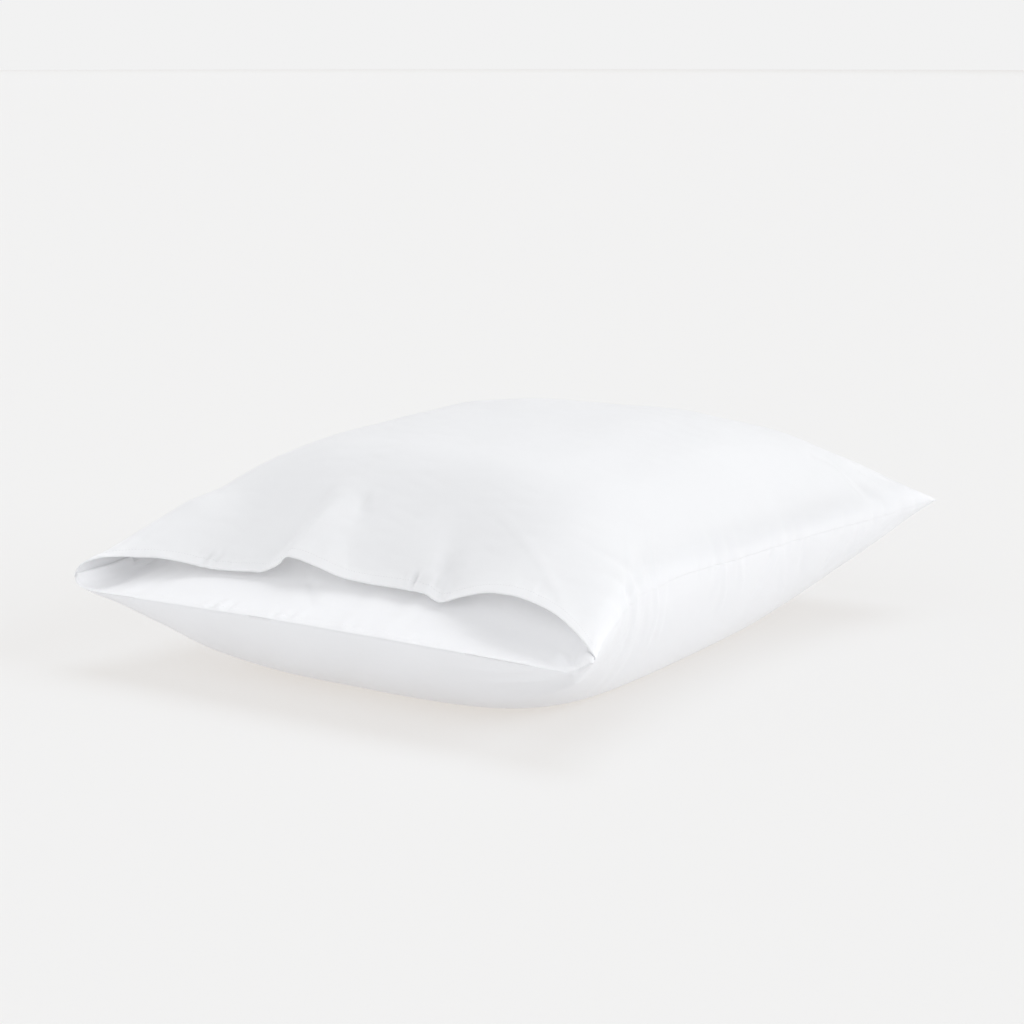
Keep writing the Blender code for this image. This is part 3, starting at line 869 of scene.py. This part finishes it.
def stitch_row(name, material, line, outward, margin):
    """A row of stitches along a line on the cloth: each is a small tube, thick in its middle and
    dipping at both ends, as far from its line as half a sine wave."""
    run = lengths(line)
    at = np.arange(margin, run[-1] - margin, STITCH_PITCH)

    def along_row(place, values):
        return np.stack([np.interp(place, run, values[:, k]) for k in range(3)], axis=-1)

    centre = along_row(at, line)
    out = along_row(at, outward)
    along = along_row(at + STITCH_PITCH / 4, line) - centre
    along = along / np.linalg.norm(along, axis=-1, keepdims=True)
    side = np.cross(along, out)
    side = side / np.linalg.norm(side, axis=-1, keepdims=True)
    t = np.linspace(-1, 1, STITCH_RINGS)[:, None]
    turn = (np.arange(STITCH_SIDES) / STITCH_SIDES * 2 * np.pi)[None, :]
    radius = STITCH_WIDTH / 2 * np.sqrt(np.clip(1.02 - t**2, 0, 1))
    reach = STITCH_SHARE * STITCH_PITCH * t + 0 * turn
    rise = radius * np.sin(turn) + 0.5 * STITCH_WIDTH * (np.cos(np.pi / 2 * t) - STITCH_SINK)
    wide = radius * np.cos(turn)
    ways = ((reach, along), (rise, out), (wide, side))
    parts = [how_far[..., None] * way[:, None, None, :] for how_far, way in ways]
    points = (centre[:, None, None, :] + sum(parts)).reshape(-1, 3)
    each = STITCH_RINGS * STITCH_SIDES
    ring = np.arange(each).reshape(STITCH_RINGS, STITCH_SIDES)
    caps = np.stack([ring[0], ring[-1, ::-1]])
    tube = quads(np.concatenate([ring, ring[:, :1]], axis=1))
    base = (np.arange(len(at)) * each)[:, None, None]
    faces = [(tube + base).reshape(-1, 4), (caps + base).reshape(-1, STITCH_SIDES)]
    return cloth_object(name, points, faces, 0 * points, material)


def on_surface(face, depth):
    """The line across a grid that lies a depth along the cloth from its first row, and there the
    normal: read between the two rows on each side of it."""
    along = lengths(face, axis=0)
    normal = normals(face)
    row = np.clip((along < depth).sum(axis=0) - 1, 0, len(along) - 2)
    column = np.arange(face.shape[1])
    low, high = along[row, column], along[row + 1, column]
    t = ((depth - low) / (high - low))[:, None]
    line = face[row, column] * (1 - t) + face[row + 1, column] * t
    out = normal[row, column] * (1 - t) + normal[row + 1, column] * t
    return line, out


def add(tree, kind, **settings):
    """A shader node with its settings."""
    node = tree.nodes.new(kind)
    for key, value in settings.items():
        setattr(node, key, value)
    return node


def fill_in(node, values):
    """Sets a node's own sockets, by name."""
    for name, value in values.items():
        node.inputs[name].default_value = value


def new_material(name):
    material = bpy.data.materials.new(name)
    material.use_nodes = True
    return material, material.node_tree, material.node_tree.nodes["Principled BSDF"]


def put_in_scene(name, data):
    piece = bpy.data.objects.new(name, data)
    bpy.context.scene.collection.objects.link(piece)
    return piece


def sums(tree, operation, first, second):
    """A Math node on two numbers or sockets."""
    node = add(tree, "ShaderNodeMath", operation=operation)
    for socket, value in zip(node.inputs, (first, second)):
        if isinstance(value, (int, float)):
            socket.default_value = value
        else:
            tree.links.new(value, socket)
    return node.outputs[0]


def noise(tree, place, scale, detail):
    node = add(tree, "ShaderNodeTexNoise")
    fill_in(node, {"Scale": scale, "Detail": detail})
    tree.links.new(place, node.inputs["Vector"])
    return node.outputs["Fac"]


def bump(tree, height, strength, distance):
    node = add(tree, "ShaderNodeBump")
    fill_in(node, {"Strength": strength, "Distance": distance})
    tree.links.new(height, node.inputs["Height"])
    return node


def two_tones(tree, mix, ends):
    """A colour ramp between two ends, each a place and a colour, into the material's colour."""
    ramp = add(tree, "ShaderNodeValToRGB")
    for element, (place, colour) in zip(ramp.color_ramp.elements, ends):
        element.position = place
        element.color = (*colour, 1)
    tree.links.new(mix, ramp.inputs[0])
    tree.links.new(ramp.outputs["Color"], tree.nodes["Principled BSDF"].inputs["Base Color"])


def let_light_through(material, share):
    """Thin white cotton passes part of the light that falls on it, a little warmer. Beside the
    seams it lies on the cloth that is turned in, and is as dense as the back panel."""
    tree = material.node_tree
    shader = tree.nodes["Principled BSDF"]
    doubled = add(tree, "ShaderNodeAttribute", attribute_name="doubled").outputs["Fac"]
    colour = add(tree, "ShaderNodeMix", data_type="RGBA")
    tree.links.new(doubled, colour.inputs["Factor"])
    single_colour, back_colour = [socket for socket in colour.inputs if socket.type == "RGBA"]
    tree.links.new(shader.inputs["Base Color"].links[0].from_socket, single_colour)
    back_colour.default_value = (*BACK_COLOUR, 1)
    result = [socket for socket in colour.outputs if socket.type == "RGBA"][0]
    tree.links.new(result, shader.inputs["Base Color"])
    single = sums(tree, "SUBTRACT", 1.0, doubled)
    through_cloth = add(tree, "ShaderNodeBsdfTranslucent")
    through_cloth.inputs["Color"].default_value = (*THROUGH_COLOUR, 1)
    mix = add(tree, "ShaderNodeMixShader")
    tree.links.new(sums(tree, "MULTIPLY", single, share), mix.inputs["Fac"])
    tree.links.new(shader.outputs[0], mix.inputs[1])
    tree.links.new(through_cloth.outputs[0], mix.inputs[2])
    tree.links.new(mix.outputs[0], tree.nodes["Material Output"].inputs["Surface"])


def woven_cotton(name, colour, roughness):
    """Plain-woven cotton. Its height is a plain weave, the higher of two crossed rows of rounded
    threads that take turns on top, on threads of uneven thickness, and the cloth's small
    softness. Its colour varies a little with the threads and more broadly."""
    material, tree, shader = new_material(name)
    fill_in(shader, {"Roughness": roughness, "Metallic": 0, "Specular IOR Level": 0.3})
    fill_in(shader, {"Sheen Weight": 0.12, "Sheen Roughness": 0.5})
    place = add(tree, "ShaderNodeAttribute", attribute_name="flat").outputs["Vector"]
    split = add(tree, "ShaderNodeSeparateXYZ")
    tree.links.new(place, split.inputs[0])
    turns = [sums(tree, "MULTIPLY", split.outputs[k], np.pi / THREAD) for k in (0, 1)]
    waves = [sums(tree, "SINE", turn, 0) for turn in turns]
    shifted = [sums(tree, "COSINE", turn, 0) for turn in turns]
    warp = sums(tree, "MULTIPLY", waves[0], waves[0])
    weft = sums(tree, "MULTIPLY", waves[1], waves[1])
    over = sums(tree, "MULTIPLY", shifted[0], shifted[1])
    lifted = sums(tree, "MULTIPLY", over, 0.5)
    warp, weft = sums(tree, "ADD", warp, lifted), sums(tree, "SUBTRACT", weft, lifted)
    weave = sums(tree, "MAXIMUM", warp, weft)
    mapping = [add(tree, "ShaderNodeMapping") for _ in range(2)]
    for node, scale in zip(mapping, ((1, 0.03, 1), (0.03, 1, 1))):
        fill_in(node, {"Scale": scale})
        tree.links.new(place, node.inputs["Vector"])
    slubs = [noise(tree, node.outputs[0], 1400, 2) for node in mapping]
    slub = sums(tree, "ADD", *slubs)
    object_place = add(tree, "ShaderNodeTexCoord").outputs["Object"]
    soft = noise(tree, object_place, 130, 4)
    height = sums(tree, "ADD", weave, sums(tree, "MULTIPLY", slub, 0.8))
    fine = bump(tree, height, 0.35, 0.06 * MM)
    broad = bump(tree, soft, 0.5, 0.35 * MM)
    tree.links.new(broad.outputs["Normal"], fine.inputs["Normal"])
    tree.links.new(fine.outputs["Normal"], shader.inputs["Normal"])
    patches = noise(tree, object_place, 14, 3)
    threads = sums(tree, "MULTIPLY", slub, 0.35)
    tone = sums(tree, "ADD", threads, sums(tree, "MULTIPLY", patches, 0.65))
    dull, bright = [c * 0.978 for c in colour], [min(c * 1.006, 1) for c in colour]
    two_tones(tree, tone, ((0.3, dull), (0.8, bright)))
    return material


def sewing_thread(name, colour):
    """Twisted cotton thread: a fine wave across its lay, its colour darker in the wave's troughs
    as painted shade between the twists.
    """
    material, tree, shader = new_material(name)
    fill_in(shader, {"Roughness": 0.7, "Sheen Weight": 0.1})
    wave = add(tree, "ShaderNodeTexWave")
    fill_in(wave, {"Scale": 900})
    place = add(tree, "ShaderNodeTexCoord").outputs["Object"]
    tree.links.new(place, wave.inputs["Vector"])
    # painted shade: the thread is darker where its wave, and so its bump, lies low
    two_tones(tree, wave.outputs["Fac"], ((0, [c * 0.93 for c in colour]), (1, colour)))
    lay = bump(tree, wave.outputs["Fac"], 1, 0.05 * MM)
    tree.links.new(lay.outputs["Normal"], shader.inputs["Normal"])
    return material


def pale(name, colour, glow, glow_colour=(1, 1, 1)):
    material, _, shader = new_material(name)
    fill_in(shader, {"Base Color": (*colour, 1), "Roughness": 1, "Specular IOR Level": 0})
    fill_in(shader, {"Emission Color": (*glow_colour, 1), "Emission Strength": glow})
    return material


def stage_piece(name, points, faces, material):
    mesh = bpy.data.meshes.new(name)
    mesh.from_pydata(points, [], faces)
    mesh.materials.append(material)
    put_in_scene(name, mesh)


def make_stage():
    """A wide pale floor with a low round wall far off, as bright as each other."""
    turn = np.linspace(0, 2 * np.pi, WALL_SIDES, endpoint=False)
    foot = np.stack([np.cos(turn), np.sin(turn), 0 * turn], axis=-1) * WALL_RADIUS
    head = foot + [0, 0, WALL_HEIGHT]
    here = np.arange(WALL_SIDES)
    ahead = (here + 1) % WALL_SIDES
    sides = np.stack([ahead, here, here + WALL_SIDES, ahead + WALL_SIDES], axis=-1).tolist()
    wall = np.concatenate([foot, head]).tolist()
    # The floor's glow is painted light: it fills the floor's shadows and makes them warm.
    table = pale("pale_floor", FLOOR_COLOUR, FLOOR_GLOW, FLOOR_GLOW_COLOUR)
    stage_piece("floor", foot.tolist(), [here.tolist()], table)
    stage_piece("backdrop", wall, sides, pale("pale_backdrop", (0, 0, 0), WALL_GLOW))


def make_air():
    """A pale air. To an even light it adds, for each lobe, the lobe's strength times the cosine
    between its direction and the air's, where that is over 0."""
    world = bpy.data.worlds.new("studio_air")
    world.use_nodes = True
    tree = world.node_tree
    place = add(tree, "ShaderNodeTexCoord").outputs["Generated"]
    total = AIR
    for lobe in LOBES:
        cosine = add(tree, "ShaderNodeVectorMath", operation="DOT_PRODUCT")
        cosine.inputs[1].default_value = lobe.direction
        tree.links.new(place, cosine.inputs[0])
        ahead = sums(tree, "MAXIMUM", cosine.outputs["Value"], 0.0)
        total = sums(tree, "ADD", sums(tree, "MULTIPLY", ahead, lobe.strength), total)
    background = tree.nodes["Background"]
    fill_in(background, {"Color": (1, 1, 1, 1)})
    tree.links.new(total, background.inputs["Strength"])
    bpy.context.scene.world = world


def make_suns():
    """Broad soft lights from far off."""
    for sun in SUNS:
        turn, rise = np.radians([sun.turn, sun.rise])
        towards = (np.cos(turn) * np.cos(rise), np.sin(turn) * np.cos(rise), np.sin(rise))
        lamp = bpy.data.lights.new(sun.name, "SUN")
        lamp.energy = sun.energy
        lamp.angle = np.radians(SUN_SPREAD)
        piece = put_in_scene(sun.name, lamp)
        piece.rotation_euler = Vector(towards).to_track_quat("Z", "Y").to_euler()


def make_light():
    make_air()
    make_suns()
    bpy.context.scene.view_settings.view_transform = "Standard"


def make_camera():
    """The photograph's view of the case: from the mouth's side, low, and from its near corner."""
    turn, rise = np.radians(CAMERA_TURN), np.radians(CAMERA_RISE)
    back = Vector((-np.cos(turn) * np.cos(rise), -np.sin(turn) * np.cos(rise), np.sin(rise)))
    data = bpy.data.cameras.new("camera")
    data.lens = CAMERA_LENS
    data.sensor_width = CAMERA_SENSOR
    data.clip_end = 200
    camera = put_in_scene("camera", data)
    camera.location = Vector(CAMERA_TARGET) + back * CAMERA_DISTANCE
    right = (-back).cross(Vector((0, 0, 1))).normalized()
    up = right.cross(-back)
    aim = -back + right * CAMERA_AIM[0] + up * CAMERA_AIM[1]
    camera.rotation_mode = "QUATERNION"
    camera.rotation_quaternion = aim.to_track_quat("-Z", "Y")
    bpy.context.scene.camera = camera


def sewn_together(face, under, distance):
    """Brings both faces to one line at the seams, with the front panel's edge a gap above it."""
    for edge in (0, -1):
        shared = (face[:, edge] + under[MOUTH_ROWS:, edge]) / 2
        face[:, edge], under[MOUTH_ROWS:, edge] = shared, shared
    shared = (face[-1] + under[-1]) / 2
    face[-1], under[-1] = shared, shared
    face[..., 2] += SEAM_GAP * np.exp(-distance / (2 * MM))


def flap_face(u, v):
    """The flap from its fold at the rim in, with the puckers of the stitches beside the fold."""
    form = placed(u, v + 0 * u, flap(u, v))
    from_rim = lengths(form, axis=0)
    along_rim = lengths(form, axis=1)[:1]
    turned = HEM_SWELL * turned_cloth(from_rim, RIM_STITCH)
    tight = gathered(form[..., 1], along_rim, from_rim - RIM_STITCH, RIM_GATHERS, RIM_SEED)
    slack = RIM_SLACK.height * ripple(along_rim + 0.2 * from_rim, RIM_SLACK.wave, RIM_SLACK_SEED)
    work = tight - stitch_groove(from_rim - RIM_STITCH) + turned
    work = work + slack * smoothstep(0, RIM_SLACK.reach, from_rim)
    work = work * smoothstep(0, RIM_ROUND, from_rim)
    form[..., 2] += (work + creases(form, normals(form))) * round_off(v, SIDE_POWER)
    return form


def make_case():
    """The whole pillowcase, in the place of its CAD nodes."""
    front_cotton = woven_cotton("front_cotton", FRONT_COLOUR, FRONT_ROUGHNESS)
    let_light_through(front_cotton, THROUGH)
    front_inside = woven_cotton("front_cotton_inside", FRONT_COLOUR, FRONT_ROUGHNESS)
    let_light_through(front_inside, THROUGH_INSIDE)
    back_cotton = woven_cotton("back_cotton", BACK_COLOUR, BACK_ROUGHNESS)
    thread = sewing_thread("white_thread", THREAD_COLOUR)
    v = columns()
    u, face, from_hem, distance = front_face(v)
    whole = np.concatenate([mouth_rows(v), u])
    under = under_face(whole, v)
    sewn_together(face, under, distance)
    upper = flap_face(whole, v)
    upper[MOUTH_ROWS:] = lining(u, v, face, distance, upper[MOUTH_ROWS:])
    upper[0], upper[-1] = under[0], under[-1]
    upper[:, 0], upper[:, -1] = under[:, 0], under[:, -1]

    front = make_front_cloth((front_cotton, front_inside), face, from_hem, distance)
    back = make_back_cloth(back_cotton, under, upper)
    line, out = on_surface(face, HEM_DEPTH - STITCH_IN)
    hem_stitches = stitch_row("hem_stitches", thread, line, out, HEM_MARGIN)
    line, out = on_surface(upper[:MOUTH_ROWS], RIM_STITCH)
    rim_stitches = stitch_row("rim_stitches", thread, line, out, RIM_MARGIN)

    for piece, slot in (
        (front, "front_cotton"),
        (hem_stitches, "front_cotton"),
        (back, "back_cotton"),
        (rim_stitches, "back_cotton"),
    ):
        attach(piece, "root")
    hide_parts("front_panel")
    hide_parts("back_panel")


make_case()
make_stage()
make_light()
make_camera()
